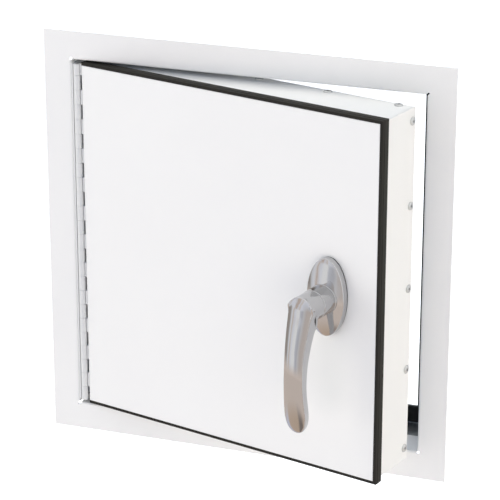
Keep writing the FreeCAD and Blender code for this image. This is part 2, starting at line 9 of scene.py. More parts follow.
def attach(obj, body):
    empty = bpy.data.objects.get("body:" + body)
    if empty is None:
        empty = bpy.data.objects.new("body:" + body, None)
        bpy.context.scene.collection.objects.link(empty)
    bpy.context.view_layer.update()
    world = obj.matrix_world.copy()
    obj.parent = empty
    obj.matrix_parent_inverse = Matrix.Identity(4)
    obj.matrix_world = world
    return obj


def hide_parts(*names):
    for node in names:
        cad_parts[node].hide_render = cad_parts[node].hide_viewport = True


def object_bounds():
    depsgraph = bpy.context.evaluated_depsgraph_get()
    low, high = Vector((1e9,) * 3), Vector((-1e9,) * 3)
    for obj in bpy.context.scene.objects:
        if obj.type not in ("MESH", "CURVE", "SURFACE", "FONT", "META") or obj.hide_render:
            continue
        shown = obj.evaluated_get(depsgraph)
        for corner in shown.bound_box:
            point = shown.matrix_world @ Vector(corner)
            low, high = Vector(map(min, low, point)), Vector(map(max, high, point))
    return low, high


# Insulated access door with a lever handle: finishes, rubber edge, screws, rose, collar and lever.
# Metres, and millimetres in the dictionaries of the pieces and finishes.
# Pieces of the door are modelled with the door closed, then turned to where it stands open.

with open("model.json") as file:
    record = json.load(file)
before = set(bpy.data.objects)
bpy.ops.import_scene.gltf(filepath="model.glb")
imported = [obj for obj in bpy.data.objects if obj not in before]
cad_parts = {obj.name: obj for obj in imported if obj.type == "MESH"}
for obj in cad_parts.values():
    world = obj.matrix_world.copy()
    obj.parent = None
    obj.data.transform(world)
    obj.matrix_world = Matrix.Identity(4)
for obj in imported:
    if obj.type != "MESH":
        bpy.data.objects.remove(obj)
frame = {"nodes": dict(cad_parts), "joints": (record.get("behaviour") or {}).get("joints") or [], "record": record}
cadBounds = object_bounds()
nodes = frame["nodes"]
mm = 0.001


# Where things are, read from the frame
swing = frame["joints"][0]
hingePoint = Vector(swing["pos_m"])
doorAngle = math.radians(swing["range_deg"][0])
doorTurn = (Matrix.Translation(hingePoint) @ Matrix.Rotation(doorAngle, 4, "Z")
            @ Matrix.Translation(-hingePoint))


def closedBox(node):
    back = doorTurn.inverted()
    points = [back @ vertex.co for vertex in nodes[node].data.vertices]
    low = Vector([min(point[i] for point in points) for i in range(3)])
    high = Vector([max(point[i] for point in points) for i in range(3)])
    return low, high


panLow, panHigh = closedBox("door_pan")
gasketLow, gasketHigh = closedBox("edge_gasket")
roseLow, roseHigh = closedBox("rose_cover")
collarLow, collarHigh = closedBox("rose_collar")
latch = Vector(((roseLow.x + roseHigh.x) / 2, panLow.y, (roseLow.z + roseHigh.z) / 2))
print("frame read, door", [round(size / mm, 1) for size in panHigh - panLow])


# Camera, at the photograph's place
view = {
    "place": (0.60581, -1.72925, 0.69716),
    "target": (0.00462, -0.0015, 0.00633),
    "lens": 170.93,
    "roll": 0.06,
    "nearest": 0.05,
    "farthest": 60,
}


def turnedTo(direction, forward="-Z"):
    return direction.to_track_quat(forward, "Y").to_matrix().to_4x4()


def addCamera():
    cameraData = bpy.data.cameras.new("camera")
    cameraData.lens = view["lens"]
    cameraData.clip_start = view["nearest"]
    cameraData.clip_end = view["farthest"]
    camera = bpy.data.objects.new("camera", cameraData)
    bpy.context.scene.collection.objects.link(camera)
    place = Vector(view["place"])
    camera.matrix_world = (Matrix.Translation(place) @ turnedTo(Vector(view["target"]) - place)
                           @ Matrix.Rotation(math.radians(view["roll"]), 4, "Z"))
    bpy.context.scene.camera = camera


addCamera()
bpy.context.scene.view_settings.view_transform = "Standard"


# Building blocks of the finishes
def fromHex(code):
    # A web colour as linear light
    parts = [int(code[i:i + 2], 16) / 255 for i in (1, 3, 5)]
    return (*[part / 12.92 if part <= 0.04045 else ((part + 0.055) / 1.055) ** 2.4 for part in parts], 1)


def perMm(size):
    return 1 / (size * mm)


def addNode(material, kind, inputs=None, **settings):
    node = material.node_tree.nodes.new("ShaderNode" + kind)
    for name, value in settings.items():
        setattr(node, name, value)
    for name, value in (inputs or {}).items():
        if isinstance(value, bpy.types.NodeSocket):
            material.node_tree.links.new(value, node.inputs[name])
        else:
            node.inputs[name].default_value = value
    return node


def newFinish(name):
    finish = bpy.data.materials.new(name)
    finish.use_nodes = True
    finish.node_tree.nodes.clear()
    return finish, addNode(finish, "TexCoord").outputs["Object"]


def noise(finish, place, size, detail, distortion=0.0):
    return addNode(finish, "TexNoise", {"Vector": place, "Scale": perMm(size), "Detail": detail,
                                        "Distortion": distortion}).outputs["Fac"]


def tones(finish, share, dark, light):
    mix = addNode(finish, "Mix", {0: share, 6: fromHex(dark), 7: fromHex(light)}, data_type="RGBA")
    return mix.outputs[2]


def between(finish, share, reach):
    spread = addNode(finish, "MapRange", {"Value": share, "To Min": reach[0], "To Max": reach[1]})
    return spread.outputs["Result"]


def bumps(finish, height, depth, strength):
    bump = addNode(finish, "Bump", {"Height": height, "Distance": depth * mm, "Strength": strength})
    return bump.outputs["Normal"]


def shade(finish, **inputs):
    sockets = {name.replace("_", " "): value for name, value in inputs.items()}
    shader = addNode(finish, "BsdfPrincipled", sockets)
    addNode(finish, "OutputMaterial", {"Surface": shader.outputs["BSDF"]})
    return finish


# Polyester powder coat, sprayed and baked on steel sheet: near white, satin, with a faint orange peel
powderCoat = {"light": "#F4F4F3", "dark": "#F1F1F0", "peel": 1.7, "peelDepth": 0.012, "peelStrength": 1.0,
              "cloud": 90, "roughness": (0.33, 0.42)}


def powderCoatFinish(name, light, dark):
    finish, place = newFinish(name)
    peel = noise(finish, place, powderCoat["peel"], detail=1.0)
    cloud = noise(finish, place, powderCoat["cloud"], detail=3.0)
    return shade(finish, Base_Color=tones(finish, cloud, dark, light),
                 Roughness=between(finish, cloud, powderCoat["roughness"]), IOR=1.5,
                 Normal=bumps(finish, peel, powderCoat["peelDepth"], powderCoat["peelStrength"]))


# Hot-dip galvanised steel: dull blue-grey metal in flat spangles, each a few millimetres wide
galvanised = {"light": "#B6BBBF", "dark": "#8E959B", "spangle": 7.0, "frost": 0.9, "frostDepth": 0.02,
              "frostStrength": 0.6, "roughness": (0.38, 0.56)}


def galvanisedFinish():
    finish, place = newFinish("galvanisedSteel")
    spangle = addNode(finish, "TexVoronoi", {"Vector": place, "Scale": perMm(galvanised["spangle"])})
    tone = addNode(finish, "SeparateColor", {"Color": spangle.outputs["Color"]})
    frost = noise(finish, place, galvanised["frost"], detail=3.0)
    mixed = addNode(finish, "Math", {0: tone.outputs["Red"], 1: frost}, operation="MULTIPLY").outputs[0]
    return shade(finish, Base_Color=tones(finish, mixed, galvanised["dark"], galvanised["light"]),
                 Metallic=1.0, Roughness=between(finish, tone.outputs["Green"], galvanised["roughness"]),
                 Normal=bumps(finish, frost, galvanised["frostDepth"], galvanised["frostStrength"]))


# Chrome plate over polished zinc: mirror bright, its long slow ripples left by the buffing wheel
chrome = {"base": "#C2C2C3", "ripple": 14.0, "rippleDepth": 0.02, "rippleStrength": 1.0, "haze": 2.5,
          "roughness": (0.05, 0.09)}


def chromeFinish():
    finish, place = newFinish("polishedChrome")
    ripple = noise(finish, place, chrome["ripple"], detail=1.0)
    haze = noise(finish, place, chrome["haze"], detail=4.0)
    return shade(finish, Base_Color=fromHex(chrome["base"]), Metallic=1.0,
                 Roughness=between(finish, haze, chrome["roughness"]),
                 Normal=bumps(finish, ripple, chrome["rippleDepth"], chrome["rippleStrength"]))


# Extruded EPDM rubber: charcoal, satin, with a fine die-drawn grain
rubber = {"light": "#2A2926", "dark": "#23221F", "grain": 0.6, "grainDepth": 0.03, "grainStrength": 0.8,
          "cloud": 25, "roughness": (0.5, 0.66), "sheen": 0.16}


def rubberFinish():
    finish, place = newFinish("extrudedRubber")
    grain = noise(finish, place, rubber["grain"], detail=3.0)
    cloud = noise(finish, place, rubber["cloud"], detail=2.0)
    return shade(finish, Base_Color=tones(finish, cloud, rubber["dark"], rubber["light"]),
                 Roughness=between(finish, grain, rubber["roughness"]), IOR=1.52,
                 Specular_IOR_Level=rubber["sheen"],
                 Normal=bumps(finish, grain, rubber["grainDepth"], rubber["grainStrength"]))


# Closed-cell foam strip: dead black, matt, pitted with cut cells
foam = {"light": "#232324", "dark": "#0E0E0F", "cell": 0.9, "cellDepth": 0.25, "cellStrength": 0.8,
        "roughness": 0.95}


def foamFinish():
    finish, place = newFinish("closedCellFoam")
    cell = addNode(finish, "TexVoronoi", {"Vector": place, "Scale": perMm(foam["cell"])}).outputs["Distance"]
    return shade(finish, Base_Color=tones(finish, cell, foam["dark"], foam["light"]),
                 Roughness=foam["roughness"],
                 Normal=bumps(finish, cell, foam["cellDepth"], foam["cellStrength"]))


# Steel under zinc plate or rolled bare: bright grey metal with fine lines along its rolling or drawing
brushed = {"line": 0.35, "lineDepth": 0.015, "lineStrength": 0.7, "cloud": 9}


def brushedFinish(name, light, dark, roughness, stretch):
    finish, place = newFinish(name)
    along = addNode(finish, "Mapping", {"Vector": place, "Scale": stretch}).outputs["Vector"]
    lines = noise(finish, along, brushed["line"], detail=3.0)
    cloud = noise(finish, place, brushed["cloud"], detail=2.0)
    return shade(finish, Base_Color=tones(finish, cloud, dark, light), Metallic=1.0,
                 Roughness=between(finish, lines, roughness),
                 Normal=bumps(finish, lines, brushed["lineDepth"], brushed["lineStrength"]))


# Die-cast zinc, left as cast: dark grey metal with a sandy skin
castZinc = {"light": "#9A9DA0", "dark": "#7C7F82", "sand": 0.8, "sandDepth": 0.06, "sandStrength": 1.0,
            "roughness": 0.55}


def castZincFinish():
    finish, place = newFinish("castZinc")
    sand = noise(finish, place, castZinc["sand"], detail=4.0)
    return shade(finish, Base_Color=tones(finish, sand, castZinc["dark"], castZinc["light"]), Metallic=1.0,
                 Roughness=castZinc["roughness"],
                 Normal=bumps(finish, sand, castZinc["sandDepth"], castZinc["sandStrength"]))


# Moulded nylon: black with a soft sheen and slight flow marks
nylon = {"light": "#232427", "dark": "#17181A", "flow": 5, "flowTwist": 1.0, "roughness": (0.36, 0.5)}


def nylonFinish():
    finish, place = newFinish("mouldedNylon")
    flow = noise(finish, place, nylon["flow"], detail=2.0, distortion=nylon["flowTwist"])
    return shade(finish, Base_Color=tones(finish, flow, nylon["dark"], nylon["light"]),
                 Roughness=between(finish, flow, nylon["roughness"]), IOR=1.53)


# Pressed mineral wool: matt straw-brown, a mat of short fibres
wool = {"light": "#CDB878", "dark": "#8A7440", "fibre": 0.8, "fibreStretch": (0.25, 1.0, 1.0),
        "fibreTwist": 1.5, "fibreDepth": 0.5, "fibreStrength": 1.0, "roughness": 1.0}


def woolFinish():
    finish, place = newFinish("mineralWool")
    along = addNode(finish, "Mapping", {"Vector": place, "Scale": wool["fibreStretch"]}).outputs["Vector"]
    fibre = noise(finish, along, wool["fibre"], detail=5.0, distortion=wool["fibreTwist"])
    return shade(finish, Base_Color=tones(finish, fibre, wool["dark"], wool["light"]),
                 Roughness=wool["roughness"],
                 Normal=bumps(finish, fibre, wool["fibreDepth"], wool["fibreStrength"]))


finishes = {
    "white_powder_coat": powderCoatFinish("whitePowderCoat", powderCoat["light"], powderCoat["dark"]),
    "hinge_coat": powderCoatFinish("hingePowderCoat", "#E3E4E4", "#DEDFE0"),
    "galvanised_sheet": galvanisedFinish(),
    "polished_chrome": chromeFinish(),
    "gasket_rubber": rubberFinish(),
    "foam_seal": foamFinish(),
    "zinc_plate": brushedFinish("zincPlate", "#C3C5C4", "#A9ADB0", (0.3, 0.42), (0.06, 0.06, 1.0)),
    "pin_steel": brushedFinish("drawnSteel", "#B4B5B6", "#9A9C9E", (0.25, 0.36), (1.0, 1.0, 0.05)),
    "screw_metal": brushedFinish("platedScrew", "#DCDDDC", "#C6C9CA", (0.3, 0.42), (0.3, 0.3, 1.0)),
    "rivet_metal": brushedFinish("aluminiumRivet", "#CFD1D2", "#B9BCBE", (0.3, 0.42), (0.5, 0.5, 1.0)),
    "cast_zinc": castZincFinish(),
    "nylon": nylonFinish(),
    "mineral_wool": woolFinish(),
}
for part in frame["record"]["subparts"]:
    node = nodes[part["node"]]
    for materialSlot in node.material_slots:
        materialSlot.material = finishes[part["material_slot"]]
print("finishes made:", len(finishes))


# Stage: pale floor and soft lamps
studio = {
    "floorDrop": 0.62,
    "floorSize": 24.0,
    "floorColour": "#F0F0EF",
    "nearLift": 0.45,  # white added to the floor near the object, where its shadow falls
    "farLift": 1.0,
    "liftReach": (0.8, 1.7),
    "skyColour": "#7990AF",  # what lights the object from all round; reflections see plain white
}
lamps = {
    "leftLamp": {"place": (-3.0, -1.4, 0.2), "size": 3.0, "power": 44, "colour": "#FFFAEE"},
    "rightLamp": {"place": (3.0, -0.4, 0.3), "size": 2.0, "power": 36, "colour": "#FFEFD3"},
    "lowFrontLamp": {"place": (-0.6, -2.6, -0.5), "size": 2.0, "power": 18.5, "colour": "#FFEBE5"},
    "lowRightLamp": {"place": (1.8, -2.6, -0.5), "size": 2.8, "power": 38, "colour": "#FFF1D7"},
    "topLeftLamp": {"place": (-2.0, -0.6, 2.4), "size": 2.6, "power": 28.5, "colour": "#FFF0CE"},
    "topBackLamp": {"place": (0.2, 0.9, 2.6), "size": 1.6, "power": 39.4, "colour": "#FFF9EB"},
}
white = (1, 1, 1, 1)


def deselectAll():
    bpy.ops.object.select_all(action="DESELECT")


def addLamp(name, place, size, power, colour):
    lampData = bpy.data.lights.new(name, "AREA")
    lampData.shape = "DISK"
    lampData.size = size
    lampData.energy = power
    lampData.color = fromHex(colour)[:3]
    lamp = bpy.data.objects.new(name, lampData)
    lamp.visible_glossy = False
    bpy.context.scene.collection.objects.link(lamp)
    lamp.matrix_world = Matrix.Translation(Vector(place)) @ turnedTo(-Vector(place))


def seenShare(finish):
    # 1 for the camera, reflections and glass, and 0 for the light that falls on things
    rays = addNode(finish, "LightPath")
    seen = addNode(finish, "Math", {0: rays.outputs["Is Camera Ray"], 1: rays.outputs["Is Glossy Ray"]},
                   operation="ADD")
    seen = addNode(finish, "Math", {0: seen.outputs[0], 1: rays.outputs["Is Transmission Ray"]},
                   operation="ADD", use_clamp=True)
    return seen.outputs[0]


def addFloor():
    deselectAll()
    bpy.ops.mesh.primitive_plane_add(size=studio["floorSize"],
                                     location=(0, 0, cadBounds[0].z - studio["floorDrop"]))
    floor = bpy.context.active_object
    floor.name = "floor"
    finish, place = newFinish("paleFloor")
    paper = addNode(finish, "BsdfDiffuse", {"Color": fromHex(studio["floorColour"])})
    reach = addNode(finish, "VectorMath", {"Vector": place}, operation="LENGTH")
    rise = addNode(finish, "MapRange", {"Value": reach.outputs["Value"], "From Min": studio["liftReach"][0],
                                        "From Max": studio["liftReach"][1], "To Min": studio["nearLift"],
                                        "To Max": studio["farLift"]}, interpolation_type="SMOOTHSTEP")
    lift = addNode(finish, "Math", {0: seenShare(finish), 1: rise.outputs["Result"]}, operation="MULTIPLY")
    glow = addNode(finish, "Emission", {"Color": white, "Strength": lift.outputs[0]})
    bright = addNode(finish, "AddShader", {0: paper.outputs["BSDF"], 1: glow.outputs["Emission"]})
    clear = addNode(finish, "BsdfTransparent")
    side = addNode(finish, "NewGeometry").outputs["Backfacing"]
    oneSided = addNode(finish, "MixShader", {0: side, 1: bright.outputs[0], 2: clear.outputs[0]})
    addNode(finish, "OutputMaterial", {"Surface": oneSided.outputs[0]})
    floor.data.materials.append(finish)


def addWorld():
    world = bpy.data.worlds.new("studioWhite")
    bpy.context.scene.world = world
    world.use_nodes = True
    world.node_tree.nodes.clear()
    colour = addNode(world, "Mix", {0: seenShare(world), 6: fromHex(studio["skyColour"]), 7: white},
                     data_type="RGBA")
    sky = addNode(world, "Background", {"Color": colour.outputs[2], "Strength": 1.0})
    addNode(world, "OutputWorld", {"Surface": sky.outputs["Background"]})


# What the chrome mirrors: a ring of walls and a ground that only reflections see. Bands run by the
# compass, in degrees from straight ahead, with the right side positive. Lengths here are in metres.
mirror = {
    "radius": 1.8,
    "top": 1.9,
    "sides": 96,
    "glow": 1.1,
    "groundLift": 0.01,
    "upperBands": [(-150, "#FFFFFF"), (-132, "#D9D2CB"), (-122, "#7D6F66"), (-114, "#4A4644"),
                   (-106, "#8C8078"), (-99, "#ADA49C"), (-92, "#8F8781"), (-85, "#A79F98"), (-79, "#D2D1D1"),
                   (-74, "#F2F4FC"), (-62, "#F2F4FC"), (-55, "#D3C5BB"), (-46, "#D8C6BA"), (-40, "#EEF1FA"),
                   (-33, "#E3D5CB"), (-27, "#F4F6FC"), (-14, "#E8EAF2"), (0, "#DCDADB"), (20, "#DCD3CC"),
                   (34, "#E9EAEC"), (60, "#FFFFFF")],
    "lowerBands": [(-150, "#FFFFFF"), (-130, "#D9D2CB"), (-118, "#8D7F75"), (-108, "#7A6E66"),
                   (-99, "#B5ADA5"), (-92, "#A39C97"), (-86, "#B4AEA8"), (-80, "#E2E2E4"), (-74, "#F2F4FC"),
                   (-67, "#F0EDEC"), (-62, "#D6C4B8"), (-57, "#E9E4E3"), (-50, "#F2F4FC"), (-42, "#FFFFFF"),
                   (-30, "#FFFFFF"), (-24, "#D6D8DF"), (-14, "#C9CAD0"), (-4, "#DDDCDD"), (8, "#D3C9C3"),
                   (22, "#D9CEC6"), (34, "#E9EAEC"), (60, "#FFFFFF")],
    "bandSplit": (0.08, 0.3),
    "waver": 0.35,
    "waverDepth": 0.14,
    "groundBands": [(-150, "#F6F6F6"), (-118, "#E4D2C2"), (-106, "#E4E8F8"), (-80, "#E4E8F8"),
                    (-70, "#DDC7B4"), (-26, "#D9C3AE"), (-19, "#9A8F88"), (-4, "#8F8580"), (4, "#D8C1AD"),
                    (45, "#F6F6F6")],
    "nearGround": "#B9A28B",
    "farGround": "#ECDDD2",
    "nearFade": (0.4, 0.8),
    "farFade": (1.05, 1.35),
    "wallFoot": (-0.80, -0.52),
    "wallTop": (1.1, 1.7),
}


def mirrorOnly(piece, name, colour, finish, strength=1.0):
    # A surface that glows in reflections and nothing else sees
    glow = addNode(finish, "Emission", {"Color": colour, "Strength": strength})
    addNode(finish, "OutputMaterial", {"Surface": glow.outputs["Emission"]})
    piece.name = name
    piece.data.materials.append(finish)
    for ray in ("camera", "diffuse", "transmission", "shadow", "volume_scatter"):
        setattr(piece, "visible_" + ray, False)


def compassBands(finish, place, axes, bands):
    # A colour for each way round, blended from one band to the next along wavering edges
    depth = mirror["waverDepth"]
    ahead = addNode(finish, "Math", {0: axes.outputs["Y"], 1: -1.0}, operation="MULTIPLY")
    turn = addNode(finish, "Math", {0: axes.outputs["X"], 1: ahead.outputs[0]}, operation="ARCTAN2")
    waver = addNode(finish, "TexNoise", {"Vector": place, "Scale": 1 / mirror["waver"], "Detail": 2.0})
    turn = addNode(finish, "Math", {0: waver.outputs["Fac"], 1: 2 * depth, 2: turn.outputs[0]},
                   operation="MULTIPLY_ADD")
    share = addNode(finish, "MapRange", {"Value": turn.outputs[0], "From Min": depth - math.pi,
                                         "From Max": depth + math.pi})
    ramp = addNode(finish, "ValToRGB", {"Fac": share.outputs["Result"]})
    stops = ramp.color_ramp.elements
    while len(stops) < len(bands):
        stops.new(1.0)
    for stop, (angle, colour) in zip(stops, bands):
        stop.position = (angle + 180) / 360
        stop.color = fromHex(colour)
    return ramp.outputs["Color"]


def fade(finish, value, reach, start, end):
    # Mixes from one colour to another as a value goes through a range
    share = addNode(finish, "MapRange", {"Value": value, "From Min": reach[0], "From Max": reach[1]},
                    interpolation_type="SMOOTHSTEP")
    return addNode(finish, "Mix", {0: share.outputs["Result"], 6: start, 7: end}, data_type="RGBA").outputs[2]


def addMirrorWall(ground):
    top = mirror["top"]
    deselectAll()
    bpy.ops.mesh.primitive_cylinder_add(vertices=mirror["sides"], radius=mirror["radius"],
                                        end_fill_type="NOTHING", depth=top - ground,
                                        location=(0, 0, (top + ground) / 2))
    wall = bpy.context.active_object
    bpy.ops.object.transform_apply(location=True)
    finish, place = newFinish("mirrorWall")
    axes = addNode(finish, "SeparateXYZ", {"Vector": place})
    lower = compassBands(finish, place, axes, mirror["lowerBands"])
    upper = compassBands(finish, place, axes, mirror["upperBands"])
    bands = fade(finish, axes.outputs["Z"], mirror["bandSplit"], lower, upper)
    foot = fade(finish, axes.outputs["Z"], mirror["wallFoot"], fromHex(mirror["farGround"]), bands)
    colour = fade(finish, axes.outputs["Z"], mirror["wallTop"], foot, white)
    mirrorOnly(wall, "mirrorWall", colour, finish, mirror["glow"])


def addMirrorGround(ground):
    deselectAll()
    bpy.ops.mesh.primitive_circle_add(vertices=mirror["sides"], radius=mirror["radius"], fill_type="NGON",
                                      location=(0, 0, ground))
    disc = bpy.context.active_object
    bpy.ops.object.transform_apply(location=True)
    finish, place = newFinish("mirrorGround")
    axes = addNode(finish, "SeparateXYZ", {"Vector": place})
    bands = compassBands(finish, place, axes, mirror["groundBands"])
    reach = addNode(finish, "VectorMath", {"Vector": place}, operation="LENGTH").outputs["Value"]
    colour = fade(finish, reach, mirror["nearFade"], fromHex(mirror["nearGround"]), bands)
    colour = fade(finish, reach, mirror["farFade"], colour, fromHex(mirror["farGround"]))
    mirrorOnly(disc, "mirrorGround", colour, finish)


addFloor()
addWorld()
for name, lamp in lamps.items():
    addLamp(name, **lamp)
mirrorFloor = cadBounds[0].z - studio["floorDrop"] + mirror["groundLift"]
addMirrorWall(mirrorFloor)
addMirrorGround(mirrorFloor)
print("stage set")


# Modelling helpers
mergeGap = 0.002  # points of a finished piece closer than this become one
tiny = 1e-6  # metres: two heights closer than this are the same
facing = 0.9  # a face faces a way when this much of its normal lies that way


def selectOnly(piece):
    deselectAll()
    piece.select_set(True)
    bpy.context.view_layer.objects.active = piece


def editMode(piece):
    selectOnly(piece)
    bpy.ops.object.mode_set(mode="EDIT")


def pick(piece, kind, test):
    # Selects the faces, edges or verts that pass a test
    bpy.ops.mesh.select_mode(type=kind)
    bpy.ops.mesh.select_all(action="DESELECT")
    shape = bmesh.from_edit_mesh(piece.data)
    for element in {"VERT": shape.verts, "EDGE": shape.edges, "FACE": shape.faces}[kind]:
        if test(element):
            element.select_set(True)
    bmesh.update_edit_mesh(piece.data)


def middle(edge):
    return (edge.verts[0].co + edge.verts[1].co) / 2


def scaleRing(centre, factorX, factorZ, out):
    # Draws the selected ring in or out round the spindle, and moves it out from the door
    bpy.ops.transform.resize(value=(factorX, 1, factorZ), center_override=centre)
    bpy.ops.transform.translate(value=(0, -out, 0))


def applyModifiers(piece):
    selectOnly(piece)
    for modifier in list(piece.modifiers):
        bpy.ops.object.modifier_apply(modifier=modifier.name)


def cutOut(piece, tool):
    cut = piece.modifiers.new("cut", "BOOLEAN")
    cut.operation = "DIFFERENCE"
    cut.object = tool
    applyModifiers(piece)
    bpy.data.objects.remove(tool)


def finishPiece(piece, body, slot, replaced, smoothAngle):
    # Settles a piece modelled on the closed door where the open door holds it
    if bpy.context.mode != "OBJECT":
        bpy.ops.object.mode_set(mode="OBJECT")
    selectOnly(piece)
    bpy.ops.object.transform_apply(location=True, rotation=True, scale=True)
    piece.matrix_world = doorTurn
    bpy.ops.object.transform_apply(location=True, rotation=True, scale=True)
    bpy.ops.object.mode_set(mode="EDIT")
    bpy.ops.mesh.select_all(action="SELECT")
    bpy.ops.mesh.remove_doubles(threshold=mergeGap * mm)
    bpy.ops.mesh.normals_make_consistent(inside=False)
    bpy.ops.object.mode_set(mode="OBJECT")
    bpy.ops.object.shade_smooth_by_angle(angle=math.radians(smoothAngle))
    piece.data.materials.clear()
    piece.data.materials.append(finishes[slot])
    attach(piece, body)
    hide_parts(replaced)
    print("made", piece.name, len(piece.data.polygons), "faces")


# Rubber strip round three edges of the skin
gasket = {"outerRounding": 0.6, "rounds": 3, "grooveFromFront": 3.2, "grooveWidth": 0.5, "grooveDepth": 0.25,
          "outerShare": 0.9, "smoothAngle": 35}


def makeGasket():
    proud = gasketHigh.x - panHigh.x
    front, depth = gasketLow.y, gasketHigh.y - gasketLow.y
    left, right = gasketLow.x - proud, gasketHigh.x
    grooveY = front + gasket["grooveFromFront"] * mm
    grooveHalf = gasket["grooveWidth"] * mm / 2

    def onOuterSide(point):
        reach = gasket["outerShare"] * proud
        return point.x > panHigh.x + reach or abs(point.z) > panHigh.z + reach

    def inGroove(face):
        centre = face.calc_center_median()
        return (abs(face.normal.y) < 1 - facing and centre.x > gasketLow.x + proud and onOuterSide(centre)
                and abs(centre.y - grooveY) < grooveHalf / 2)

    deselectAll()
    bpy.ops.mesh.primitive_plane_add(size=1, location=((left + right) / 2, front, 0),
                                     rotation=(math.pi / 2, 0, 0))
    strip = bpy.context.active_object
    strip.name = "rubberEdge"
    strip.scale = (right - left, 2 * gasketHigh.z, 1)
    bpy.ops.object.transform_apply(location=True, rotation=True, scale=True)
    editMode(strip)
    bpy.ops.mesh.select_all(action="SELECT")
    bpy.ops.mesh.inset(thickness=proud)
    bpy.ops.mesh.delete(type="FACE")
    pick(strip, "FACE", lambda face: face.calc_center_median().x < gasketLow.x)
    bpy.ops.mesh.delete(type="FACE")
    bpy.ops.mesh.select_all(action="SELECT")
    bpy.ops.mesh.extrude_region_move(TRANSFORM_OT_translate={"value": (0, depth, 0)})
    bpy.ops.mesh.select_all(action="SELECT")
    bpy.ops.mesh.bisect(plane_co=(gasketLow.x, 0, 0), plane_no=(1, 0, 0), use_fill=True, clear_inner=True)
    for side in (-1, 1):
        bpy.ops.mesh.select_all(action="SELECT")
        bpy.ops.mesh.bisect(plane_co=(0, grooveY + side * grooveHalf, 0), plane_no=(0, 1, 0))
    pick(strip, "FACE", inGroove)
    bpy.ops.mesh.inset(thickness=0, depth=-gasket["grooveDepth"] * mm, use_boundary=True)
    pick(strip, "EDGE", lambda edge: abs(middle(edge).y - front) < tiny and edge.is_manifold
         and onOuterSide(middle(edge)))
    bpy.ops.mesh.bevel(offset=gasket["outerRounding"] * mm, segments=gasket["rounds"])
    finishPiece(strip, "door", "gasket_rubber", "edge_gasket", gasket["smoothAngle"])


makeGasket()


# Pan head screws round the back edge of the door
screws = {"head": 7.0, "rise": 1.2, "rounding": 0.9, "rounds": 4, "sides": 32, "socket": 2.6,
          "socketDepth": 1.0, "socketSides": 6, "shank": 4.0, "length": 8.0, "inset": 4.8, "sidePitch": 70.0,
          "endPitch": 65.0, "corner": 8.0, "smoothAngle": 35}


def spreadPlaces(span, pitch):
    count = int((span / 2 - screws["corner"] * mm) / (pitch * mm))
    return [step * pitch * mm for step in range(-count, count + 1)]


def makeScrew():
    head, rise = screws["head"] * mm / 2, screws["rise"] * mm
    deselectAll()
    bpy.ops.mesh.primitive_cylinder_add(vertices=screws["sides"], radius=head, depth=rise,
                                        location=(0, 0, rise / 2))
    screw = bpy.context.active_object
    bpy.ops.object.transform_apply(location=True)
    editMode(screw)
    pick(screw, "FACE", lambda face: face.normal.z < -facing)
    bpy.ops.mesh.inset(thickness=head - screws["shank"] * mm / 2)
    bpy.ops.mesh.extrude_region_move(TRANSFORM_OT_translate={"value": (0, 0, -screws["length"] * mm)})
    pick(screw, "EDGE", lambda edge: all(abs(vertex.co.z - rise) < tiny for vertex in edge.verts))
    bpy.ops.mesh.bevel(offset=screws["rounding"] * mm, segments=screws["rounds"])
    bpy.ops.object.mode_set(mode="OBJECT")
    deselectAll()
    bpy.ops.mesh.primitive_cylinder_add(vertices=screws["socketSides"], radius=screws["socket"] * mm / 2,
                                        depth=2 * screws["socketDepth"] * mm, location=(0, 0, rise))
    cutOut(screw, bpy.context.active_object)
    return screw


def makeScrews():
    screw = makeScrew()
    width, height = panHigh.x - panLow.x, panHigh.z - panLow.z
    centreX = (panHigh.x + panLow.x) / 2
    y = panHigh.y - screws["inset"] * mm
    places = []
    for z in spreadPlaces(height, screws["sidePitch"]):
        places += [((panHigh.x, y, z), (1, 0, 0)), ((panLow.x, y, z), (-1, 0, 0))]
    for x in spreadPlaces(width, screws["endPitch"]):
        places += [((centreX + x, y, panHigh.z), (0, 0, 1)), ((centreX + x, y, panLow.z), (0, 0, -1))]
    copies = []
    for point, way in places:
        copy = screw.copy()
        copy.data = screw.data.copy()
        bpy.context.scene.collection.objects.link(copy)
        copy.matrix_world = Matrix.Translation(Vector(point)) @ turnedTo(Vector(way), "Z")
        copies.append(copy)
    bpy.data.objects.remove(screw)
    bpy.context.view_layer.update()
    deselectAll()
    for copy in copies:
        copy.select_set(True)
    bpy.context.view_layer.objects.active = copies[0]
    bpy.ops.object.join()
    group = bpy.context.active_object
    group.name = "edgeScrews"
    finishPiece(group, "door", "screw_metal", "cover_screws", screws["smoothAngle"])


makeScrews()


# Oval rose: a shallow domed cover with a rounded rim, and a hole that the collar covers.
# The rim is a list of (reach out from the door, how far drawn in).
rose = {"sides": 128, "band": 5.6, "rim": [(6.3, 0.12), (6.75, 0.42), (7.0, 0.95)], "crown": 4.0,
        "crownSteps": 7, "crownRun": 0.8, "wall": 1.5, "holeInset": 0.6, "holeSides": 96, "holeLength": 40,
        "smoothAngle": 30}


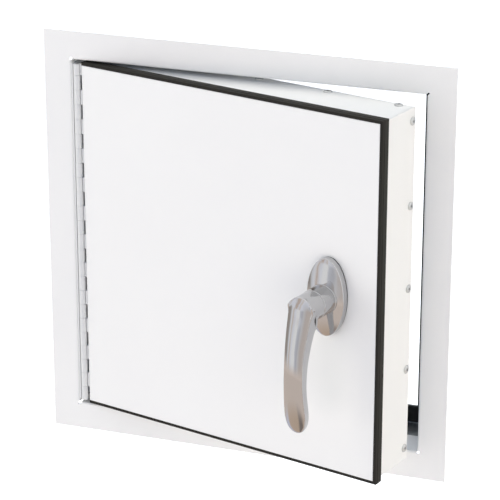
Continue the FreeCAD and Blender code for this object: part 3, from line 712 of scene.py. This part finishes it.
def makeRose():
    halfWide, halfHigh = (roseHigh.x - roseLow.x) / 2, (roseHigh.z - roseLow.z) / 2
    base = latch.y - roseHigh.y
    deselectAll()
    bpy.ops.mesh.primitive_circle_add(vertices=rose["sides"], radius=1, fill_type="NOTHING",
                                      location=(latch.x, roseHigh.y, latch.z), rotation=(math.pi / 2, 0, 0))
    cover = bpy.context.active_object
    cover.name = "roseCover"
    cover.scale = (halfWide, halfHigh, 1)
    bpy.ops.object.transform_apply(location=True, rotation=True, scale=True)
    editMode(cover)
    bpy.ops.mesh.select_mode(type="EDGE")
    bpy.ops.mesh.select_all(action="SELECT")
    rings = [(base / mm, 0.0), (rose["band"], 0.0)] + rose["rim"]
    outline = [(reach * mm, halfWide - draw * mm, halfHigh - draw * mm) for reach, draw in rings]
    edgeReach, edgeWide, edgeHigh = outline[-1]
    for step in range(1, rose["crownSteps"] + 1):
        share = 1 - rose["crownRun"] * step / rose["crownSteps"]
        reach = edgeReach + rose["crown"] * mm * (1 - share ** 2)
        outline.append((reach, edgeWide * share, edgeHigh * share))
    for last, this in zip(outline, outline[1:]):
        bpy.ops.mesh.extrude_edges_move()
        scaleRing(latch, this[1] / last[1], this[2] / last[2], this[0] - last[0])
    bpy.ops.mesh.edge_face_add()
    bpy.ops.mesh.normals_make_consistent(inside=False)
    bpy.ops.object.mode_set(mode="OBJECT")
    shell = cover.modifiers.new("wall", "SOLIDIFY")
    shell.thickness = rose["wall"] * mm
    shell.offset = -1
    shell.use_even_offset = True
    applyModifiers(cover)
    deselectAll()
    bpy.ops.mesh.primitive_cylinder_add(vertices=rose["holeSides"],
                                        radius=(collarHigh.x - collarLow.x) / 2 - rose["holeInset"] * mm,
                                        depth=rose["holeLength"] * mm, location=latch,
                                        rotation=(math.pi / 2, 0, 0))
    cutOut(cover, bpy.context.active_object)
    finishPiece(cover, "door", "polished_chrome", "rose_cover", rose["smoothAngle"])


makeRose()


# Collar: a plain tube on the rose that the lever turns in, with a wider foot and softened edges
collar = {"sides": 96, "footReach": 10.9, "footRadius": 12.5, "edge": 0.35, "edgeTurn": 0.3, "bore": 10.6,
          "smoothAngle": 30}


def makeCollar():
    radius = (collarHigh.x - collarLow.x) / 2 / mm
    start = (latch.y - collarHigh.y) / mm
    end = (latch.y - collarLow.y) / mm
    bore, foot, footReach = collar["bore"], collar["footRadius"], collar["footReach"]
    edge, turn = collar["edge"], collar["edgeTurn"] * collar["edge"]
    # The section, as (reach out from the door, radius), back to where it starts
    rings = [(start, bore), (start, foot), (footReach - edge, foot), (footReach - turn, foot - turn),
             (footReach, foot - edge), (footReach, radius), (footReach + edge, radius),
             (end - 2 * edge, radius), (end - edge, radius), (end - turn, radius - turn),
             (end, radius - edge), (end, bore), (start, bore)]
    deselectAll()
    bpy.ops.mesh.primitive_circle_add(vertices=collar["sides"], radius=bore * mm, fill_type="NOTHING",
                                      location=(latch.x, latch.y - start * mm, latch.z),
                                      rotation=(math.pi / 2, 0, 0))
    piece = bpy.context.active_object
    piece.name = "collar"
    bpy.ops.object.transform_apply(location=True, rotation=True, scale=True)
    editMode(piece)
    bpy.ops.mesh.select_mode(type="EDGE")
    bpy.ops.mesh.select_all(action="SELECT")
    for last, this in zip(rings, rings[1:]):
        bpy.ops.mesh.extrude_edges_move()
        scaleRing(latch, this[1] / last[1], this[1] / last[1], (this[0] - last[0]) * mm)
    finishPiece(piece, "door", "polished_chrome", "rose_collar", collar["smoothAngle"])


makeCollar()


# Lever: one ring of twelve points, drawn out along the spindle, over the corner and down the grip.
# Reach is measured out from the door's face and height up from the spindle.
lever = {
    "points": 12,
    "spigot": 9.0,
    "spigotStart": 1.0,
    "spigotStop": 0.3,  # before the neck
    "spigotFlare": 0.2,
    # reach and radius
    "neck": [(25.36, 11.55), (25.42, 11.72), (25.7, 11.8), (26.5, 11.8), (29.5, 11.8)],
    # the right half of each ring of the corner, from the top round to the bottom: side, reach, height
    "bend": [
        [(0.0, 35.5, 11.8), (5.9, 35.5, 10.2), (10.3, 35.5, 5.75), (11.75, 33.3, 0.0),
         (10.35, 31.6, -5.9), (5.95, 30.5, -10.3), (0.0, 30.2, -11.85)],
        [(0.0, 40.3, 11.8), (6.05, 40.6, 10.15), (10.75, 41.7, 5.3), (11.55, 36.2, -0.2),
         (10.55, 33.0, -6.05), (6.05, 31.2, -10.35), (0.0, 30.7, -11.9)],
        [(0.0, 41.9, 11.8), (6.2, 42.3, 10.1), (10.95, 43.5, 5.0), (11.4, 37.8, -0.3),
         (10.7, 33.9, -6.2), (6.2, 31.6, -10.4), (0.0, 31.0, -11.9)],
    ],
    # down the grip: height at the front and at the back, width, reach of front and back, and how sharp
    # its front edges are
    "grip": [
        (5.0, -13.5, 22.7, 45.8, 32.9, 1.0),
        (-1.0, -17.5, 21.1, 47.3, 34.8, 1.0),
        (-9.0, -23.0, 20.1, 49.5, 37.1, 1.0),
        (-18.0, -29.0, 19.1, 51.7, 39.0, 1.0),
        (-28.0, -36.0, 18.1, 53.7, 40.7, 1.0),
        (-39.0, -43.5, 17.3, 55.1, 42.3, 1.0),
        (-53.0, -54.5, 17.2, 55.5, 43.7, 1.0),
        (-67.0, -67.0, 17.8, 54.6, 43.8, 0.9),
        (-80.0, -80.0, 19.0, 52.9, 42.2, 0.8),
        (-90.0, -90.0, 18.8, 51.0, 41.3, 0.6),
        (-96.6, -96.6, 15.2, 49.4, 42.0, 0.4),
        (-100.2, -100.2, 9.0, 48.0, 43.1, 0.2),
        (-101.5, -101.5, 3.4, 46.7, 44.5, 0.0),
    ],
    # half the grip's section, from the middle of the front to the middle of the back: share of the half
    # width and share of the thickness, with sharp and with soft front edges
    "sharp": [(0.0, 0.0), (0.52, 0.05), (0.98, 0.21), (0.95, 0.53), (0.92, 0.85), (0.74, 0.98), (0.0, 1.0)],
    "soft": [(0.0, 0.0), (0.55, 0.05), (0.96, 0.24), (0.98, 0.53), (0.9, 0.84), (0.55, 0.985), (0.0, 1.0)],
    "headCrease": 0.9,
    "frontCrease": 0.9,
    "backCrease": 0.6,
    "levels": 3,
    "fitRounds": 5,
    "smoothAngle": 40,
}


def allRound(half):
    # Twelve points from seven: half a ring, then its mirror image back to the start
    return half + [(-point[0], *point[1:]) for point in reversed(half[1:-1])]


def gripRing(row):
    frontHeight, backHeight, width, front, back, ridge = row
    ring = []
    for (sharpX, sharpDepth), (softX, softDepth) in zip(allRound(lever["sharp"]), allRound(lever["soft"])):
        x = (ridge * sharpX + (1 - ridge) * softX) * width / 2
        depth = ridge * sharpDepth + (1 - ridge) * softDepth
        ring.append((x, front - depth * (front - back), frontHeight + depth * (backHeight - frontHeight)))
    return ring


def neckRing(reach, radius):
    angles = [math.radians(step * 360 / lever["points"]) for step in range(lever["points"])]
    return [(radius * math.sin(angle), reach, radius * math.cos(angle)) for angle in angles]


def drawRings(piece, rings):
    # Extrudes a ring of points to each ring in turn, and returns the numbers of the points of each
    bpy.ops.mesh.select_mode(type="EDGE")
    bpy.ops.mesh.select_all(action="SELECT")
    numbers = list(range(len(rings[0])))
    levels = []
    for ring in rings:
        if levels:
            bpy.ops.mesh.extrude_edges_move()
        shape = bmesh.from_edit_mesh(piece.data)
        shape.verts.ensure_lookup_table()
        if levels:
            fresh = [vertex for vertex in shape.verts if vertex.select]
            numbers = [min(fresh, key=lambda vertex: (vertex.co - shape.verts[index].co).length).index
                       for index in numbers]
        for (x, reach, height), index in zip(ring, numbers):
            shape.verts[index].co = (latch.x + x * mm, latch.y - reach * mm, latch.z + height * mm)
        bmesh.update_edit_mesh(piece.data)
        levels.append(list(numbers))
    return levels


def creaseEdges(piece, levels, spigotCount, head):
    # Keeps the spigot's rings, the head's front and the grip's long edges crisp when smoothed.
    # The steps count round a ring from the middle of its front.
    frontSteps, frontEdges, backEdges = {10, 11, 0, 1, 2}, (2, 10), (4, 8)
    ridges = [row[-1] for row in lever["grip"]]
    shape = bmesh.from_edit_mesh(piece.data)
    sharpness = shape.edges.layers.float.new("crease_edge")
    places = {index: (number, step) for number, ring in enumerate(levels) for step, index in enumerate(ring)}
    for edge in shape.edges:
        (ringA, stepA), (ringB, stepB) = sorted(places[vertex.index] for vertex in edge.verts)
        if ringA == ringB and ringA < spigotCount:
            edge[sharpness] = 1.0
        elif ringA == ringB == head and {stepA, stepB} <= frontSteps:
            edge[sharpness] = lever["headCrease"]
        elif stepA == stepB and stepA in frontEdges and ringA >= head:
            edge[sharpness] = lever["frontCrease"] * ridges[ringB - head - 1]
        elif stepA == stepB and stepA in backEdges and ringA > head:
            edge[sharpness] = lever["backCrease"] * ridges[ringB - head - 1]
    bmesh.update_edit_mesh(piece.data)


def fitCage(piece, rounds):
    # Moves the cage's points out until the smoothed surface passes through where they stood
    wanted = [vertex.co.copy() for vertex in piece.data.vertices]
    for _ in range(rounds):
        smoothed = piece.evaluated_get(bpy.context.evaluated_depsgraph_get()).data
        for vertex, goal in zip(piece.data.vertices, wanted):
            vertex.co += goal - smoothed.vertices[vertex.index].co
        piece.data.update()


def makeLever():
    neckStart, spigot = lever["neck"][0][0], lever["spigot"]
    spigotRings = [neckRing(lever["spigotStart"], spigot), neckRing(neckStart - lever["spigotStop"], spigot),
                   neckRing(neckStart, spigot + lever["spigotFlare"])]
    neckRings = [neckRing(*ring) for ring in lever["neck"]]
    bendRings = [allRound(half) for half in lever["bend"]]
    gripRings = [gripRing(row) for row in lever["grip"]]
    head = len(spigotRings) + len(neckRings) + len(bendRings) - 1
    deselectAll()
    bpy.ops.mesh.primitive_circle_add(vertices=lever["points"], radius=1, fill_type="NOTHING")
    grip = bpy.context.active_object
    grip.name = "leverHandle"
    editMode(grip)
    levels = drawRings(grip, spigotRings + neckRings + bendRings + gripRings)
    bpy.ops.mesh.edge_face_add()
    pick(grip, "EDGE", lambda edge: all(vertex.index in levels[0] for vertex in edge.verts))
    bpy.ops.mesh.edge_face_add()
    creaseEdges(grip, levels, len(spigotRings), head)
    bpy.ops.object.mode_set(mode="OBJECT")
    smooth = grip.modifiers.new("smooth", "SUBSURF")
    smooth.levels = smooth.render_levels = lever["levels"]
    fitCage(grip, lever["fitRounds"])
    applyModifiers(grip)
    finishPiece(grip, "handle", "polished_chrome", "lever", lever["smoothAngle"])


makeLever()
